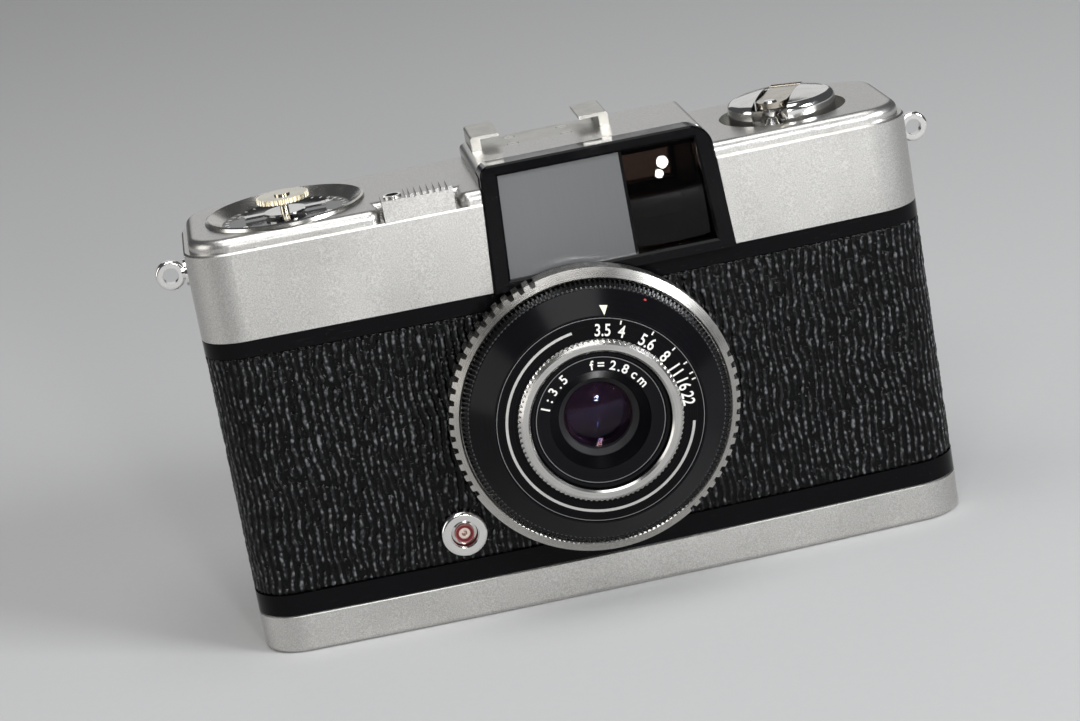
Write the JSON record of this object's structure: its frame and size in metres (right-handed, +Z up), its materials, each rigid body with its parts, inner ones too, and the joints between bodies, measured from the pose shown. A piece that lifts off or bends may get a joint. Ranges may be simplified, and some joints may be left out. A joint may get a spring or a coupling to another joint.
{
  "type": "half frame camera",
  "caption": "Half frame viewfinder camera with a toothed focus ring, aperture and speed rings, thumb wheel advance, fold-out rewind crank and a slide-off back.",
  "frame": {"origin": "middle of the body's width and depth, on the underside of the base cover", "axes": "+X to the right as seen from the front, -Y the way the lens looks, +Z up"},
  "size_m": [0.121, 0.041, 0.0701],
  "materials": {
    "satin_metal": "satin, fine grain",
    "black_enamel": "gloss black enamel",
    "black_anodised": "semi-gloss black",
    "leatherette": "crinkled black leatherette",
    "chrome": "polished",
    "bright_metal": "turned and polished",
    "brass": "worn plating",
    "steel": "plain",
    "frosted_glass": "frosted",
    "clear_glass": "coated",
    "dial_black": "matt black with white figures",
    "red_plastic": "gloss",
    "black_plastic": "matte",
    "blade_steel": "blued"
  },
  "bodies": {
    "camera": {"body_casting": "black_enamel", "front_leather": "leatherette", "film_gate": "black_anodised", "top_cover": "satin_metal", "finder_frame": "black_enamel", "frosted_window": "frosted_glass", "finder_objective": "clear_glass", "finder_tube": "black_plastic", "eyepiece_frame": "black_plastic", "eyepiece_lens": "clear_glass", "accessory_shoe": "chrome", "shoe_screws": "steel", "strap_lug_left": "chrome", "strap_lug_right": "chrome", "counter_bezel": "bright_metal", "counter_dial": "dial_black", "focus_helicoid": "brass", "flash_socket_shell": "chrome", "flash_socket_insulator": "red_plastic", "flash_socket_contact": "brass"},
    "back": {"back_panel": "black_enamel", "back_leather": "leatherette", "bottom_cover": "satin_metal", "tripod_bush": "brass", "pressure_plate": "black_anodised", "pressure_spring": "steel"},
    "lock": {"lock_key": "bright_metal"},
    "lock_grip": {"lock_handle": "chrome"},
    "rewind_free": {"rewind_release_button": "steel"},
    "release": {"release_button": "satin_metal", "release_bush": "bright_metal"},
    "wheel": {"advance_wheel": "bright_metal"},
    "spool": {"take_up_spool": "black_plastic"},
    "sprocket": {"film_sprocket": "bright_metal"},
    "counter": {"counter_pointer": "chrome", "counter_knob": "chrome"},
    "collar": {"rewind_collar": "brass"},
    "rewind": {"rewind_knob": "chrome", "rewind_shaft": "steel"},
    "crank": {"crank_arm": "chrome"},
    "crank_grip": {"crank_handle": "chrome"},
    "focus": {"focus_ring": "bright_metal"},
    "lens_unit": {"shutter_housing": "black_anodised", "index_cone": "black_anodised", "front_barrel": "black_anodised", "rear_barrel": "black_anodised", "name_ring": "dial_black", "front_element": "clear_glass", "middle_element": "clear_glass", "rear_element": "clear_glass"},
    "speed": {"speed_ring": "black_anodised"},
    "aperture": {"aperture_scale": "dial_black", "aperture_grip": "chrome"},
    "iris_1": {"aperture_blade_1": "blade_steel"},
    "iris_2": {"aperture_blade_2": "blade_steel"},
    "iris_3": {"aperture_blade_3": "blade_steel"},
    "iris_4": {"aperture_blade_4": "blade_steel"},
    "iris_5": {"aperture_blade_5": "blade_steel"},
    "leaf_1": {"shutter_blade_1": "blade_steel"},
    "leaf_2": {"shutter_blade_2": "blade_steel"}
  },
  "joints": [
    {"name": "back_slide", "type": "slide", "parent": "camera", "child": "back", "axis": [0, 0, -1], "range_m": [0, 0.05]},
    {"name": "lock_turn", "type": "hinge", "parent": "back", "child": "lock", "pos_m": [0.0384, 0, 0.002], "axis": [0, 0, 1], "range_deg": [0, 90]},
    {"name": "lock_grip_fold", "type": "hinge", "parent": "lock", "child": "lock_grip", "pos_m": [0.0384, 0, 0.0006], "axis": [-1, 0, 0], "range_deg": [0, 90]},
    {"name": "rewind_free_press", "type": "slide", "parent": "camera", "child": "rewind_free", "axis": [0, 0, 1], "range_m": [0, 0.001], "stiffness_N_per_m": 200, "springref_m": -0.001},
    {"name": "release_press", "type": "slide", "parent": "camera", "child": "release", "axis": [0, 0, -1], "range_m": [0, 0.0015], "stiffness_N_per_m": 400, "springref_m": -0.002},
    {"name": "wheel_turn", "type": "hinge", "parent": "camera", "child": "wheel", "pos_m": [-0.0393, 0.002, 0.054], "axis": [0, 0, 1], "continuous": true},
    {"name": "spool_turn", "type": "hinge", "parent": "camera", "child": "spool", "pos_m": [-0.0393, 0.002, 0.03], "axis": [0, 0, 1], "continuous": true},
    {"name": "sprocket_turn", "type": "hinge", "parent": "camera", "child": "sprocket", "pos_m": [-0.0233, 0.0026, 0.03], "axis": [0, 0, 1], "continuous": true},
    {"name": "counter_turn", "type": "hinge", "parent": "camera", "child": "counter", "pos_m": [-0.0393, 0, 0.065], "axis": [0, 0, 1], "continuous": true},
    {"name": "rewind_turn", "type": "hinge", "parent": "camera", "child": "collar", "pos_m": [0.0384, 0, 0.05], "axis": [0, 0, 1], "continuous": true},
    {"name": "rewind_lift", "type": "slide", "parent": "collar", "child": "rewind", "axis": [0, 0, 1], "range_m": [0, 0.006]},
    {"name": "crank_unfold", "type": "hinge", "parent": "rewind", "child": "crank", "pos_m": [0.04051, 0.00453, 0.0679], "axis": [-0.9063, 0.4226, 0], "range_deg": [0, 170]},
    {"name": "crank_grip_spin", "type": "hinge", "parent": "crank", "child": "crank_grip", "pos_m": [0.03565, -0.00589, 0.066], "axis": [0, 0, 1], "continuous": true},
    {"name": "focus_turn", "type": "hinge", "parent": "camera", "child": "focus", "pos_m": [0, -0.018, 0.0305], "axis": [0, -1, 0], "range_deg": [0, 100]},
    {"name": "lens_travel", "type": "slide", "parent": "camera", "child": "lens_unit", "axis": [0, -1, 0], "range_m": [0, 0.0014]},
    {"name": "speed_turn", "type": "hinge", "parent": "lens_unit", "child": "speed", "pos_m": [0, -0.02, 0.0305], "axis": [0, -1, 0], "range_deg": [-36, 36]},
    {"name": "aperture_turn", "type": "hinge", "parent": "lens_unit", "child": "aperture", "pos_m": [0, -0.024, 0.0305], "axis": [0, -1, 0], "range_deg": [0, 76]},
    {"name": "iris_1_turn", "type": "hinge", "parent": "lens_unit", "child": "iris_1", "pos_m": [0.01094, -0.016, 0.03405], "axis": [0, -1, 0], "range_deg": [0, 24.5]},
    {"name": "iris_2_turn", "type": "hinge", "parent": "lens_unit", "child": "iris_2", "pos_m": [0, -0.016, 0.042], "axis": [0, -1, 0], "range_deg": [0, 24.5]},
    {"name": "iris_3_turn", "type": "hinge", "parent": "lens_unit", "child": "iris_3", "pos_m": [-0.01094, -0.016, 0.03405], "axis": [0, -1, 0], "range_deg": [0, 24.5]},
    {"name": "iris_4_turn", "type": "hinge", "parent": "lens_unit", "child": "iris_4", "pos_m": [-0.00676, -0.016, 0.0212], "axis": [0, -1, 0], "range_deg": [0, 24.5]},
    {"name": "iris_5_turn", "type": "hinge", "parent": "lens_unit", "child": "iris_5", "pos_m": [0.00676, -0.016, 0.0212], "axis": [0, -1, 0], "range_deg": [0, 24.5]},
    {"name": "leaf_1_open", "type": "hinge", "parent": "lens_unit", "child": "leaf_1", "pos_m": [0.0093, -0.015, 0.03726], "axis": [0, -1, 0], "range_deg": [0, 25]},
    {"name": "leaf_2_open", "type": "hinge", "parent": "lens_unit", "child": "leaf_2", "pos_m": [-0.0093, -0.015, 0.02374], "axis": [0, -1, 0], "range_deg": [0, 25.5]}
  ],
  "couplings": [
    {"joint": "spool_turn", "follows": "wheel_turn", "ratio": 1.08},
    {"joint": "sprocket_turn", "follows": "wheel_turn", "ratio": 1.25},
    {"joint": "counter_turn", "follows": "wheel_turn", "ratio": -0.03125},
    {"joint": "lens_travel", "follows": "focus_turn", "m_per_rad": 0.000785},
    {"joint": "iris_1_turn", "follows": "aperture_turn", "ratio": 0.31579},
    {"joint": "iris_2_turn", "follows": "aperture_turn", "ratio": 0.31579},
    {"joint": "iris_3_turn", "follows": "aperture_turn", "ratio": 0.31579},
    {"joint": "iris_4_turn", "follows": "aperture_turn", "ratio": 0.31579},
    {"joint": "iris_5_turn", "follows": "aperture_turn", "ratio": 0.31579},
    {"joint": "leaf_2_open", "follows": "leaf_1_open", "ratio": 1}
  ]
}
